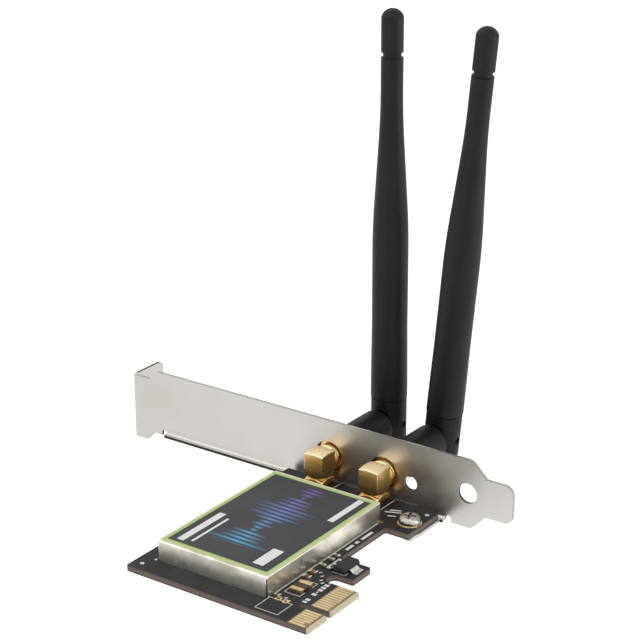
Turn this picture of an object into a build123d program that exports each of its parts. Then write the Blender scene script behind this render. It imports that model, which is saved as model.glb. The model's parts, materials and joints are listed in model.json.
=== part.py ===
import os

from build123d import *

os.makedirs("parts", exist_ok=True)

# Working axes, in millimetres: X runs along the bracket from its flange to the tab,
# Y = 0 is the bracket's face on the board side and +Y goes out to the antennas,
# Z = 0 is the top of the board and +Z is the side its parts stand on.

# Circuit board
board_thick = 1.57
board_left = 53.75
board_gap = 1.4             # bracket face to the board's edge
lug_end = 100.0             # lug that is screwed to the bracket's ear
lug_width = 14.0
recess_at = 93.3            # edge set back between the lug and the hook
hook_end = 101.9
hook_width = 7.5
slot_deep = 5.6             # slot between hook and contact tab, from the hook's end
slot_width = 4.0
slot_round = 1.7
recess_round = 0.7
corner_round = 0.4

# Edge contacts, eighteen a side with a keyway after the eleventh
contact_edge = 106.6
key_y = -58.2
contact_pitch = 1.0
contact_wide = 0.7
contact_setback = 5.64      # contact tips to the edge
contact_long = 4.25
contact_short = 3.35        # the pin that makes last
contact_thick = 0.05
key_to_pin = 1.5
near_pin_count = 11
far_pin_count = 7
pin_to_side = 0.6
key_wide = 1.9
key_deep = 8.2
bevel_run = 0.7
bevel_drop = 0.45

# Bracket, one folded sheet
sheet = 0.86
bend = 0.3                  # inside radius of the folds
flange_face = -0.4          # outer face of the flange
plate_width = 18.42
tab_end = 120.02
tab_width = 10.19
tab_long = 11.62
tab_round = 2.5
shoulder_round = 2.2
step_round = 0.8            # smaller corners of the plate's outline
flange_deep = 11.43         # plate's outer face to the flange's free edge
flange_drop = 2.65          # flange end set down from the plate
drop_top_at = 5.85
drop_low_at = 4.25
flange_round = 1.6
screw_notch = 4.42
notch_out = 6.35            # plate's outer face to the notch's middle
notch_reach = 3.9
lip_start = 11.4
lip_end = 100.95
lip_reach = 1.25
lip_bend = 0.9              # inside radius of the lip's fold
relief = 1.7
relief_rise = 1.7
ear_wide = 8.4
ear_inset = 0.6             # ear's edge back from the lip's end
ear_reach = 13.3
ear_round = 2.2
hole_margin = 1.1           # jack holes over the jack's thread
small_hole_at = (90.64, 5.1)
small_hole_r = 1.9
large_hole_back = 12.78      # tab's end to the large hole
large_hole_z = 6.9
large_hole_r = 2.65

# Bracket screw and its pad
screw_at = (96.8, -9.9)
screw_r = 1.5
screw_long = 4.3
head_r = 2.75
head_high = 1.95
head_round = 1.1
cross_long = 3.3
cross_wide = 0.65
cross_deep = 1.15
cross_turn = 20
thread_play = 0.03
screw_hole_play = 0.12
pad_r = 3.05

# Shield can and its label
can_x = (58.3, 90.6)
can_y = (-60.2, -13.35)
can_high = 5.25
can_wall = 0.25
can_corner = 0.5
can_brow = 0.28
seam_wide = 0.3             # slits where the folded walls meet at the corners
seam_head = 0.6             # slits stop short of the top
label_inset_x = 0.3
label_inset_y = 0.75
label_thick = 0.1
label_corner = 0.5

# Parts under the can, sizes in X, Y, Z and places in X, Y
wifi_chip_size = (9.0, 9.0, 0.9)
wifi_chip_at = (74.5, -36.5)
crystal_size = (3.2, 2.5, 0.8)
crystal_at = (64.5, -28.0)
memory_size = (3.9, 4.9, 1.5)
memory_at = (84.0, -48.0)
inductor_size = (4.0, 4.0, 2.0)
inductor_at = (84.5, -55.0)
front_end_size = (3.0, 3.0, 0.8)
front_end_y = -20.5
filter_size = (1.0, 0.5, 0.5)
filters_out = 6.4           # chip's middle to the row of small capacitors
filter_step = 2.4
filters_in_row = 4

# Parts on the open board
fuse_size = (3.3, 4.6, 0.65)
fuse_at = (94.1, -51.8)
fuse_end = 1.2
capacitor_size = (2.0, 1.25, 0.75)
capacitors_at = [(92.65, -47.35), (92.5, -44.6)]
resistor_size = (1.6, 0.8, 0.5)
resistors_at = [(92.1, -40.2), (92.1, -36.7), (92.1, -34.5)]
resistor_near_fuse = (91.9, -57.9)
end_share = 0.4             # plated end of the small parts, along X
end_over = 0.03             # plating stands this much proud

# Voltage regulator on the hook
regulator_at = (97.35, -38.2)
regulator_size = (3.5, 6.4, 1.6)
regulator_lift = 0.06
lower_draft = 8             # degrees
upper_draft = 14
tab_lead_wide = 3.0
lead_wide = 0.75
lead_pitch = 2.3
lead_thick = 0.27
lead_high = 0.75
lead_reach = 2.2            # body side to the end of the foot
lead_foot = 1.05
lead_shoulder = 0.35        # flat run beside the body
lead_bend = 0.2

# Rings and dots of plating on the board, places in X, Y
ring_pads_at = [(92.8, -58.8), (94.9, -59.0)]
ring_out_r = 0.85
ring_in_r = 0.42
dots = [(56.36, -63.63, 0.55), (57.85, -60.35, 0.35), (91.02, -13.67, 0.35), (98.16, -4.02, 0.6)]

# Antenna jacks
jacks_x = (65.65, 82.5)
axis_z = 5.9
jack_block = 5.8
jack_back = 4.2             # block's middle behind the bracket face
jack_top = 9.25
jack_dome_r = 12.0
groove_z = 2.25             # turned waist above the foot
groove_high = 0.92
groove_r = 2.75
block_turn_r = 4.3          # turned radius, past the block's corners
collar_r = 3.55
collar_thick = 0.75
thread_r = 3.175
jack_end = 7.6
insulator_r = 2.1
insulator_recess = 2.0
snug = 0.02                 # between pieces that are held together
sink = 0.5                  # joined forms run this far into each other
past = 1.0                  # cutting forms run this far past a face
thread_chamfer = 0.3
jack_pin_r = 0.45
jack_pin_short = 0.4        # pin ends this far inside the jack's mouth
leg_r = 0.5
leg_out = 1.95
leg_below = 1.3             # legs past the underside of the board
leg_play = 0.1

# Coupling nuts
nut_flats = 8.0
nut_from = 1.0
nut_face_r = 4.6            # round face that covers the bracket's hole
nut_face = 1.2
nut_back_wall = 0.4
nut_turn_r = 4.5            # corners turned down to this
nut_chamfer = 0.45
nut_play = 0.045
turn_play = 0.05            # running fits of the swivels and hinges
face_play = 0.04

# Plug of each antenna, inside the nut
plug_flange_r = 2.88
plug_flange = 0.42
plug_r = 2.4
plug_long = 6.0             # past the nut
plug_bore_r = 1.6
plug_contact_r = 0.75
plug_contact_reach = 1.7    # into the jack
plug_contact_wall_end = 1.0

# Antenna bases and hinges
base_from_nut = 0.3
base_r = 4.9
base_end = 22.55
base_round = 0.4
pivot_y = 28.05
tongue_thick = 3.6
tongue_r = 3.9
cheek_play = 0.1
hinge_r = 0.9
hinge_inset = 0.55          # pin's ends below the cheeks
fork_r = 4.78
fork_heel_r = 4.9           # rounding of the fork's heel round the pivot
heel_play = 0.35
coax_r = 0.9
coax_short = 0.5            # cable ends this far inside the base's end
coax_clear = 0.3            # cable starts this far above the slot

# Antenna whips, drawn about the hinge with heights above it
seam_high = 7.45
seam_groove = 0.25
grip_r = 4.9
grip_high = 11.0
shaft_r = 4.72
shaft_from = 27.0
taper_low = 54.6            # corners of the long cone, eased by a large radius
taper_high = 84.6
taper_ease = 208
tip_r = 2.86
ring_high = 100.0
ring_wide = 1.4
ring_deep = 0.5
ring_slope = 0.15           # lean of the groove's walls
whip_high = 111.7
dome_high = 2.4
dome_edge_r = 1.6
stub_r = 3.0
stub_long = 8.0
bore_r = 2.3
bore_top = 76.0
tip_bore_r = 1.2
tip_bore_top = 90.0
sleeve_r = 2.1
sleeve_wall = 0.2
sleeve_from = 33.0
sleeve_top = 59.0
sleeve_cap = 0.6
radiator_r = 0.6
radiator_top = 86.0
right_lean = 6.2            # degrees the right antenna is turned outward in its jack
right_tip = 1.2             # degrees it is tipped towards the board

# Shared places
board_low = -board_thick
plate_low = board_low - sheet
plate_high = plate_low + plate_width
lug_side = -board_gap - lug_width
pin_ones = key_y + key_to_pin + (near_pin_count - 1) * contact_pitch
pin_last = key_y - key_to_pin - (far_pin_count - 1) * contact_pitch
tab_near = pin_ones + pin_to_side
board_far = pin_last - pin_to_side
hook_far = tab_near + slot_width
hook_near = hook_far + hook_width
contact_tips = contact_edge - contact_setback
slot_end = hook_end - slot_deep
tab_start = tab_end - tab_long
large_hole_at = (tab_end - large_hole_back, large_hole_z)
nut_end = jack_end + 2 * face_play + plug_flange + nut_back_wall
base_start = nut_end + base_from_nut

# The frame handed on has its origin in the keyway, at the contact edge, halfway through the board
to_frame = Pos(-contact_edge, -key_y, board_thick / 2)


def block(x, y, z):
    middle = Pos((x[0] + x[1]) / 2, (y[0] + y[1]) / 2, (z[0] + z[1]) / 2)
    return middle * Box(x[1] - x[0], y[1] - y[0], z[1] - z[0])


def chip(at, size, lift=0.0):
    return Pos(at[0], at[1], lift + size[2] / 2) * Box(*size)


def rod_x(r, start, end):
    return Pos((start + end) / 2, 0, 0) * Rot(0, 90, 0) * Cylinder(r, end - start)


def rod_y(r, start, end):
    return Pos(0, (start + end) / 2, 0) * Rot(90, 0, 0) * Cylinder(r, end - start)


def rod_z(r, start, end):
    return Pos(0, 0, (start + end) / 2) * Cylinder(r, end - start)


# A flat outline from corners given as two coordinates and the corner's radius
def outline(corners):
    face = make_face(Polyline([(a, b) for a, b, r in corners], close=True))
    for a, b, r in corners:
        if r > 0:
            face = fillet(face.vertices().sort_by_distance((a, b, 0))[0], r)
    return face


def pin_places():
    near = [pin_ones - i * contact_pitch for i in range(near_pin_count)]
    far = [key_y - key_to_pin - i * contact_pitch for i in range(far_pin_count)]
    return near + far


def leg_places():
    return [(x, y) for x in (-leg_out, leg_out) for y in (-jack_back - leg_out, -jack_back + leg_out)]


def circuit_board():
    flat = outline([
        (board_left, -board_gap, corner_round),
        (lug_end, -board_gap, corner_round),
        (lug_end, lug_side, corner_round),
        (recess_at, lug_side, recess_round),
        (recess_at, hook_near, recess_round),
        (hook_end, hook_near, corner_round),
        (hook_end, hook_far, corner_round),
        (slot_end, hook_far, slot_round),
        (slot_end, tab_near, slot_round),
        (contact_edge, tab_near, corner_round),
        (contact_edge, board_far, corner_round),
        (board_left, board_far, corner_round),
    ])
    board = extrude(flat, -board_thick)
    key_end = contact_edge - key_deep + key_wide / 2
    across = (key_y - key_wide / 2, key_y + key_wide / 2)
    key = block((key_end, contact_edge + past), across, (board_low - past, past))
    board -= key + Pos(key_end, key_y, 0) * rod_z(key_wide / 2, board_low - past, past)
    start = contact_edge - bevel_run
    upper = outline([
        (start, 0, 0),
        (contact_edge, -bevel_drop, 0),
        (contact_edge, past, 0),
        (start, past, 0),
    ])
    cut = extrude(Plane.XZ * upper, -board_far + past)
    board -= cut
    board -= Pos(0, 0, board_low) * mirror(cut, Plane.XY)
    board -= Pos(*screw_at, 0) * rod_z(screw_r + screw_hole_play, board_low - past, past)
    for jack_x in jacks_x:
        for x, y in leg_places():
            board -= Pos(jack_x + x, y, 0) * rod_z(leg_r + leg_play, board_low - past, past)
        board -= Pos(jack_x, -jack_back, 0) * rod_z(jack_pin_r + leg_play, board_low - past, past)
    for at in ring_pads_at:
        board -= Pos(*at, 0) * rod_z(ring_in_r, board_low - past, past)
    return board


def edge_contacts(z, short_pin):
    pads = []
    for number, y in enumerate(pin_places(), start=1):
        long = contact_short if number == short_pin else contact_long
        across = (y - contact_wide / 2, y + contact_wide / 2)
        pads.append(block((contact_tips, contact_tips + long), across, z))
    return Compound(pads)


def bracket():
    flange_end = sheet + flange_deep
    fold = outline([
        (flange_face, 0, sheet + bend),
        (tab_end, 0, 0),
        (tab_end, sheet, 0),
        (flange_face + sheet, sheet, bend),
        (flange_face + sheet, flange_end, 0),
        (flange_face, flange_end, 0),
    ])
    metal = Pos(0, 0, plate_low - flange_drop) * extrude(fold, plate_width + flange_drop)
    middle = (plate_low + plate_high) / 2
    shoulder = (plate_width - tab_width) / 2
    front = outline([
        (flange_face, plate_low - flange_drop, 0),
        (drop_low_at, plate_low - flange_drop, step_round),
        (drop_low_at + flange_drop, plate_low, step_round),
        (tab_start, plate_low, shoulder_round),
        (tab_start + shoulder, middle - tab_width / 2, step_round),
        (tab_end, middle - tab_width / 2, tab_round),
        (tab_end, middle + tab_width / 2, tab_round),
        (tab_start + shoulder, middle + tab_width / 2, step_round),
        (tab_start, plate_high, shoulder_round),
        (drop_top_at + flange_drop, plate_high, step_round),
        (drop_top_at, plate_high - flange_drop, step_round),
        (flange_face, plate_high - flange_drop, 0),
    ])
    metal &= extrude(Plane.XZ * front, 2 * flange_end, both=True)
    metal = fillet(metal.edges().filter_by(Axis.X).group_by(Axis.Y)[-1], flange_round)
    # notch for the computer's own screw, open at the lower edge
    notch_z = plate_low - flange_drop + notch_reach
    notch = rod_x(screw_notch / 2, -past, sheet + past)
    across = (-screw_notch / 2, screw_notch / 2)
    notch += block((-past, sheet + past), across, (-2 * notch_reach, 0))
    metal -= Pos(flange_face, sheet + notch_out, notch_z) * notch
    # lip folded in under the board's edge, its top level with the underside of the board
    through = (-past, sheet + past)
    lip_top = board_low + lip_bend + sink
    metal -= block((lip_start, lip_end), through, (plate_low - past, lip_top))
    lip = outline([
        (sheet, lip_top, 0),
        (0, lip_top, 0),
        (0, board_low, lip_bend),
        (-lip_reach, board_low, 0),
        (-lip_reach, plate_low, 0),
        (sheet, plate_low, sheet + lip_bend),
    ])
    metal += Pos(lip_start, 0, 0) * extrude(Plane.YZ * lip, lip_end - lip_start)
    # ear that carries the screw under the board's lug
    ear_right = lip_end - ear_inset
    ear_root = -(lip_bend + lip_reach) / 2
    ear = outline([
        (ear_right, ear_root, 0),
        (ear_right - ear_wide, ear_root, 0),
        (ear_right - ear_wide, -ear_reach, ear_round),
        (ear_right, -ear_reach, ear_round),
    ])
    metal += Pos(0, 0, plate_low) * extrude(ear, sheet)
    metal -= Pos(*screw_at, 0) * rod_z(screw_r + thread_play, plate_low - past, board_low + sink)
    # relief slots at the ends of the lip
    for x in (lip_start - relief / 2, lip_end + relief / 2):
        top = plate_low + relief_rise - relief / 2
        slot = block((-relief / 2, relief / 2), through, (plate_low - past, top))
        metal -= Pos(x, 0, 0) * (slot + Pos(0, 0, top) * rod_y(relief / 2, *through))
    for x in jacks_x:
        metal -= Pos(x, 0, axis_z) * rod_y(thread_r + hole_margin, *through)
    for at, r in ((small_hole_at, small_hole_r), (large_hole_at, large_hole_r)):
        metal -= Pos(at[0], 0, at[1]) * rod_y(r, *through)
    return metal


def bracket_screw():
    head = rod_z(head_r, 0, head_high)
    head = fillet(head.edges().group_by(Axis.Z)[-1], head_round)
    for turn in (cross_turn, cross_turn + 90):
        across = (-cross_wide / 2, cross_wide / 2)
        arm = block((-cross_long / 2, cross_long / 2), across, (-cross_deep, past))
        head -= Pos(0, 0, head_high) * Rot(0, 0, turn) * arm
    screw = head + rod_z(screw_r, -screw_long, sink)
    return Pos(*screw_at, contact_thick) * screw


def ring(at, inner, outer):
    return Pos(*at, 0) * (rod_z(outer, 0, contact_thick) - rod_z(inner, -past, past))


def can_form(inset, top):
    x = (can_x[0] + inset, can_x[1] - inset)
    y = (can_y[0] + inset, can_y[1] - inset)
    solid = block(x, y, (0, top))
    return fillet(solid.edges().filter_by(Axis.Z), can_corner - inset)


def shield_can():
    can = can_form(0, can_high)
    can = fillet(can.faces().sort_by(Axis.Z)[-1].edges(), can_brow)
    can -= Pos(0, 0, -past) * can_form(can_wall, can_high - can_wall + past)
    slit = block((-past, past), (-seam_wide / 2, seam_wide / 2), (-past, can_high - seam_head))
    for i in (0, 1):
        can -= Pos(can_x[i], can_y[i], 0) * Rot(0, 0, 45) * slit
        can -= Pos(can_x[i], can_y[1 - i], 0) * Rot(0, 0, -45) * slit
    return can


def shield_label():
    x = (can_x[0] + label_inset_x, can_x[1] - label_inset_x)
    y = (can_y[0] + label_inset_y, can_y[1] - label_inset_y)
    sheet_form = block(x, y, (can_high, can_high + label_thick))
    return fillet(sheet_form.edges().filter_by(Axis.Z), label_corner)


def inner_capacitors():
    chips = []
    for i in range(filters_in_row):
        along = (i - (filters_in_row - 1) / 2) * filter_step
        chips.append(chip((wifi_chip_at[0] + along, wifi_chip_at[1] - filters_out), filter_size))
        chips.append(chip((wifi_chip_at[0] + along, wifi_chip_at[1] + filters_out), filter_size))
    return Compound(chips)


# Plated ends wrap the two ends of a chip part, and the body fills the space between
def chip_ends(at, size, end, along_y=False):
    over = end_over
    long = size[1] if along_y else size[0]
    wide = size[0] if along_y else size[1]
    ends = []
    for side in (-1, 1):
        inner = side * (long / 2 - end)
        outer = side * long / 2
        a = (min(inner, outer), max(inner, outer))
        cap = block(a, (-wide / 2 - over, wide / 2 + over), (0, size[2] + over))
        ends.append(Pos(*at, 0) * Rot(0, 0, 90 if along_y else 0) * cap)
    return ends


def chip_body(at, size, end, along_y=False):
    if along_y:
        return chip(at, (size[0], size[1] - 2 * end, size[2]))
    return chip(at, (size[0] - 2 * end, size[1], size[2]))


def small_chips(places, size):
    bodies = [chip_body(at, size, end_share) for at in places]
    ends = []
    for at in places:
        ends += chip_ends(at, size, end_share)
    return Compound(bodies), Compound(ends)


def regulator_body():
    wide, long, high = regulator_size
    lower = lead_high - regulator_lift
    base = extrude(Rectangle(wide, long), -lower, taper=lower_draft)
    cap = extrude(Rectangle(wide, long), high - lower - regulator_lift, taper=upper_draft)
    return Pos(*regulator_at, lead_high) * (base + cap)


# A lead leaves the body at the parting line, slopes down and ends in a flat foot
def lead(wide):
    start = regulator_size[0] / 2
    end = start + lead_reach
    foot = end - lead_foot
    path = outline([
        (start, lead_high + lead_thick / 2, 0),
        (start + lead_shoulder, lead_high + lead_thick / 2, lead_bend),
        (foot, lead_thick, lead_bend),
        (end, lead_thick, 0),
        (end, 0, 0),
        (foot - lead_thick / 2, 0, lead_bend),
        (start + lead_shoulder - lead_thick / 2, lead_high - lead_thick / 2, lead_bend),
        (start, lead_high - lead_thick / 2, 0),
    ])
    return extrude(Plane.XZ * path, wide / 2, both=True)


def regulator_leads():
    leads = [Pos(*regulator_at, 0) * lead(tab_lead_wide)]
    for i in (-1, 0, 1):
        place = Pos(regulator_at[0], regulator_at[1] + i * lead_pitch, 0)
        leads.append(place * Rot(0, 0, 180) * lead(lead_wide))
    return Compound(leads)


# The space inside a jack for its insulator: along the barrel, and down to the board
def jack_bore(r, front):
    level = rod_y(r, -jack_back - r, front)
    down = Pos(0, -jack_back, 0) * rod_z(r, -axis_z, 0)
    return level + down


def jack_pin_form(r, front, below):
    level = rod_y(r, -jack_back, front)
    down = Pos(0, -jack_back, 0) * rod_z(r, -axis_z - below, 0)
    corner = Pos(0, -jack_back, 0) * Sphere(r)
    return level + down + corner


def jack_body():
    half = jack_block / 2
    dome_low = jack_top - jack_dome_r
    turned = make_face([
        Polyline([
            (0, 0),
            (block_turn_r, 0),
            (block_turn_r, groove_z - groove_high),
            (groove_r, groove_z),
            (block_turn_r, groove_z + groove_high),
            (block_turn_r, jack_top),
            (0, jack_top),
        ], close=True)
    ])
    form = revolve(Plane.XZ * turned, Axis.Z)
    form &= Pos(0, 0, dome_low) * Sphere(jack_dome_r) + rod_z(block_turn_r, 0, dome_low + jack_dome_r / 2)
    form &= block((-half, half), (-half, half), (0, jack_top + past))
    body = Pos(0, -jack_back, -axis_z) * form
    front = -jack_back + half
    body += rod_y(collar_r, front - sink, front + collar_thick)
    thread = rod_y(thread_r, front - sink, jack_end)
    body += chamfer(thread.edges().group_by(Axis.Y)[-1], thread_chamfer)
    body -= jack_bore(insulator_r, jack_end + past)
    for x, y in leg_places():
        body += Pos(x, y, -axis_z) * rod_z(leg_r, board_low - leg_below, sink)
    return body


def jack_insulator():
    body = jack_bore(insulator_r - snug, jack_end - insulator_recess)
    return body - jack_pin_form(jack_pin_r + snug, jack_end, past)


def jack_pin():
    return jack_pin_form(jack_pin_r, jack_end - jack_pin_short, board_thick + leg_below)


def coupling_nut():
    nut = extrude(Plane.XZ * RegularPolygon(nut_flats / 2, 6, major_radius=False), -(nut_end - nut_from))
    nut = Pos(0, nut_from, 0) * nut
    turned = rod_y(nut_turn_r, nut_from, nut_end)
    nut &= chamfer(turned.edges().filter_by(GeomType.CIRCLE), nut_chamfer)
    nut += rod_y(nut_face_r, nut_from, nut_from + nut_face)
    nut -= rod_y(thread_r + nut_play, nut_from - past, nut_end - nut_back_wall)
    return nut - rod_y(plug_r + turn_play, nut_from, nut_end + past)


def plug_shell():
    flange_from = jack_end + face_play
    shell = rod_y(plug_flange_r, flange_from, flange_from + plug_flange)
    shell += rod_y(plug_r, flange_from, nut_end + plug_long)
    return shell - rod_y(plug_bore_r, 0, nut_end + plug_long + past)


def plug_insulator():
    body = rod_y(plug_bore_r - snug, jack_end + face_play, nut_end + plug_long)
    return body - rod_y(plug_contact_r + snug, 0, nut_end + plug_long + past)


def plug_contact():
    back = nut_end + plug_long - plug_contact_wall_end
    contact = rod_y(plug_contact_r, jack_end - plug_contact_reach, back)
    return contact - rod_y(jack_pin_r + turn_play, 0, jack_end)


def base_coax():
    return rod_y(coax_r, nut_end + plug_long + snug, base_end - coax_short)


def antenna_base():
    base = rod_y(base_r, base_start, base_end)
    base = fillet(base.edges().filter_by(GeomType.CIRCLE), base_round)
    half = tongue_thick / 2
    tongue = Pos(0, pivot_y, 0) * rod_x(tongue_r, -half, half)
    tongue += block((-half, half), (base_end - past, pivot_y), (-tongue_r, tongue_r))
    base += tongue
    base -= Pos(0, pivot_y, 0) * rod_x(hinge_r + turn_play, -base_r, base_r)
    base -= rod_y(plug_r + snug, base_start - past, nut_end + plug_long)
    return base - rod_y(coax_r + snug, base_start, base_end - coax_short)


def hinge_pin():
    half = fork_r - hinge_inset
    return rod_x(hinge_r, -half, half)


# The fork's cheeks stand either side of the tongue, its stub goes up into the sheath
def antenna_fork():
    fork = rod_z(fork_r, 0, seam_high - seam_groove) + rod_z(stub_r, 0, seam_high + stub_long)
    heel = rod_z(fork_r, -fork_heel_r, 0) & rod_x(fork_heel_r, -base_r, base_r)
    fork += heel
    half = tongue_thick / 2 + cheek_play
    room = tongue_r + heel_play
    slot = rod_x(room, -half, half)
    slot += block((-half, half), (-2 * fork_r, 0), (0, room))
    slot += block((-half, half), (-2 * fork_r, room), (-2 * fork_r, 0))
    fork -= slot
    fork -= rod_x(hinge_r + snug / 2, -base_r, base_r)
    return fork - rod_z(coax_r + snug, 0, seam_high + stub_long + past)


# Outside of the whip: grip, straight shaft, long taper, slim tip with a ring groove
def whip_form():
    ring_low = ring_high - ring_wide / 2
    ring_top = ring_high + ring_wide / 2
    side = outline([
        (0, seam_high, 0),
        (grip_r, seam_high, 0),
        (grip_r, grip_high, 0),
        (shaft_r, shaft_from, 0),
        (shaft_r, taper_low, taper_ease),
        (tip_r, taper_high, taper_ease),
        (tip_r, ring_low, 0),
        (tip_r - ring_deep, ring_low + ring_slope, 0),
        (tip_r - ring_deep, ring_top - ring_slope, 0),
        (tip_r, ring_top, 0),
        (tip_r, whip_high - dome_high, 0),
        (0, whip_high - dome_high, 0),
    ])
    return revolve(Plane.XZ * side, Axis.Z)


# The whip's round end, an edge arc that runs into a flatter crown arc
def tip_dome():
    start = whip_high - dome_high
    reach = tip_r - dome_edge_r
    crown_r = (reach ** 2 + dome_high ** 2 - dome_edge_r ** 2) / (2 * (dome_high - dome_edge_r))
    crown_z = whip_high - crown_r
    away = (reach / (crown_r - dome_edge_r), (start - crown_z) / (crown_r - dome_edge_r))
    meet = (crown_r * away[0], crown_z + crown_r * away[1])
    side = make_face([
        Line((0, start), (tip_r, start)),
        TangentArc((tip_r, start), meet, tangent=(0, 1)),
        TangentArc(meet, (0, whip_high), tangent=(-away[1], away[0])),
        Line((0, whip_high), (0, start)),
    ])
    return revolve(Plane.XZ * side, Axis.Z)


def antenna_sheath():
    sheath = whip_form() + tip_dome()
    sheath -= rod_z(stub_r + snug, seam_high - past, seam_high + stub_long + snug)
    return sheath - rod_z(bore_r, seam_high, bore_top) - rod_z(tip_bore_r, seam_high, tip_bore_top)


def whip_coax():
    start = tongue_r + heel_play + coax_clear
    return rod_z(coax_r, start, sleeve_top + sleeve_cap)


def dipole_sleeve():
    tube = rod_z(sleeve_r, sleeve_from, sleeve_top + sleeve_cap)
    tube -= rod_z(sleeve_r - sleeve_wall, sleeve_from - past, sleeve_top)
    return tube - rod_z(coax_r + snug, sleeve_from, sleeve_top + sleeve_cap + past)


def radiator():
    return rod_z(radiator_r, sleeve_top + sleeve_cap + snug, radiator_top)


def save(name, shape):
    export_step(to_frame * shape, f"parts/{name}.step")


save("circuit_board", circuit_board())
save("edge_contacts_top", edge_contacts((0, contact_thick), near_pin_count + far_pin_count - 1))
save("edge_contacts_bottom", edge_contacts((board_low - contact_thick, board_low), 1))
save("bracket", bracket())
save("bracket_screw", bracket_screw())
save("screw_pad", ring(screw_at, screw_r + screw_hole_play, pad_r))
save("ring_pads", Compound([ring(at, ring_in_r, ring_out_r) for at in ring_pads_at]))
save("solder_dots", Compound([Pos(x, y, 0) * rod_z(r, 0, contact_thick) for x, y, r in dots]))
save("shield_can", shield_can())
save("shield_label", shield_label())
save("wifi_chip", chip(wifi_chip_at, wifi_chip_size))
save("crystal", chip(crystal_at, crystal_size))
save("memory_chip", chip(memory_at, memory_size))
save("power_inductor", chip(inductor_at, inductor_size))
save("front_end_chips", Compound([chip((x, front_end_y), front_end_size) for x in jacks_x]))
save("inner_capacitors", inner_capacitors())
save("fuse_body", chip_body(fuse_at, fuse_size, fuse_end, along_y=True))
save("fuse_ends", Compound(chip_ends(fuse_at, fuse_size, fuse_end, along_y=True)))
capacitor_bodies, capacitor_ends = small_chips(capacitors_at, capacitor_size)
save("capacitor_bodies", capacitor_bodies)
save("capacitor_ends", capacitor_ends)
resistor_bodies, resistor_ends = small_chips(resistors_at + [resistor_near_fuse], resistor_size)
save("resistor_bodies", resistor_bodies)
save("resistor_ends", resistor_ends)
save("regulator_body", regulator_body())
save("regulator_leads", regulator_leads())
for side, jack_x, lean, tip in (("left", jacks_x[0], 0, 0), ("right", jacks_x[1], right_lean, right_tip)):
    fixed = Pos(jack_x, 0, axis_z)
    turned = fixed * Rot(0, lean, 0)
    tipped = turned * Pos(0, pivot_y, 0) * Rot(tip, 0, 0)
    save(f"jack_body_{side}", fixed * jack_body())
    save(f"jack_insulator_{side}", fixed * jack_insulator())
    save(f"jack_pin_{side}", fixed * jack_pin())
    save(f"coupling_nut_{side}", fixed * coupling_nut())
    save(f"plug_shell_{side}", turned * plug_shell())
    save(f"plug_insulator_{side}", turned * plug_insulator())
    save(f"plug_contact_{side}", turned * plug_contact())
    save(f"base_coax_{side}", turned * base_coax())
    save(f"antenna_base_{side}", turned * antenna_base())
    save(f"hinge_pin_{side}", tipped * hinge_pin())
    save(f"antenna_fork_{side}", tipped * antenna_fork())
    save(f"antenna_sheath_{side}", tipped * antenna_sheath())
    save(f"whip_coax_{side}", tipped * whip_coax())
    save(f"dipole_sleeve_{side}", tipped * dipole_sleeve())
    save(f"radiator_{side}", tipped * radiator())
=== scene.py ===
import json
import math
from functools import partial

import bmesh
import bpy
import numpy as np
from mathutils import Matrix, Vector


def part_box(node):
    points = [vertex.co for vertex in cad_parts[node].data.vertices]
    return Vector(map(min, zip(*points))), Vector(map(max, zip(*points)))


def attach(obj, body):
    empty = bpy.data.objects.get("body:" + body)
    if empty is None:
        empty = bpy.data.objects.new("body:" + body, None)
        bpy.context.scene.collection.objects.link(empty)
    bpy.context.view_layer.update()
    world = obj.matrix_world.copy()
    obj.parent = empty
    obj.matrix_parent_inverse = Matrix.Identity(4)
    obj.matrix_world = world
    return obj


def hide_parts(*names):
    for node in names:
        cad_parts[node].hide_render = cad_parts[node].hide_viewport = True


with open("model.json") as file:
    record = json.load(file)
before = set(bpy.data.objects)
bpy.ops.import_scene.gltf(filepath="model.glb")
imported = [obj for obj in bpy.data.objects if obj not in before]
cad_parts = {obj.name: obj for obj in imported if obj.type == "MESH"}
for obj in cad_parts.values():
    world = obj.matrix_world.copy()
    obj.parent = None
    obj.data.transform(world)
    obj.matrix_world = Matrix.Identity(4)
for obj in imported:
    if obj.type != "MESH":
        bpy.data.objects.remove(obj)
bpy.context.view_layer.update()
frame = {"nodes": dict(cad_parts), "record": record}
nodes = frame["nodes"]
mm = 0.001
sides = ("left", "right")
print("frame loaded:", len(nodes), "nodes")


# Colours, nodes and materials

def hexColour(text):  # sRGB hex to linear red, green, blue, alpha
    srgb = np.array([int(text[i:i + 2], 16) for i in (1, 3, 5)]) / 255
    linear = np.where(srgb <= 0.04045, srgb / 12.92, ((srgb + 0.055) / 1.055) ** 2.4)
    return (*linear.tolist(), 1.0)


def perMm(size):  # texture scale that gives features of this many millimetres
    return 1.0 / (size * mm)


def addNode(tree, kind, inputs=None, **settings):  # one node: its settings, then each input set or linked
    node = tree.nodes.new(kind)
    for name, value in settings.items():
        setattr(node, name, value)
    for socket, value in (inputs or {}).items():
        if isinstance(value, bpy.types.NodeSocket):
            tree.links.new(value, node.inputs[socket])
        else:
            node.inputs[socket].default_value = value
    return node.outputs


def startMaterial(name):  # an empty material, what adds its nodes, and the object's own coordinates
    material = bpy.data.materials.new(name)
    material.use_nodes = True
    material.node_tree.nodes.clear()
    add = partial(addNode, material.node_tree)
    return material, add, add("ShaderNodeTexCoord")["Object"]


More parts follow.
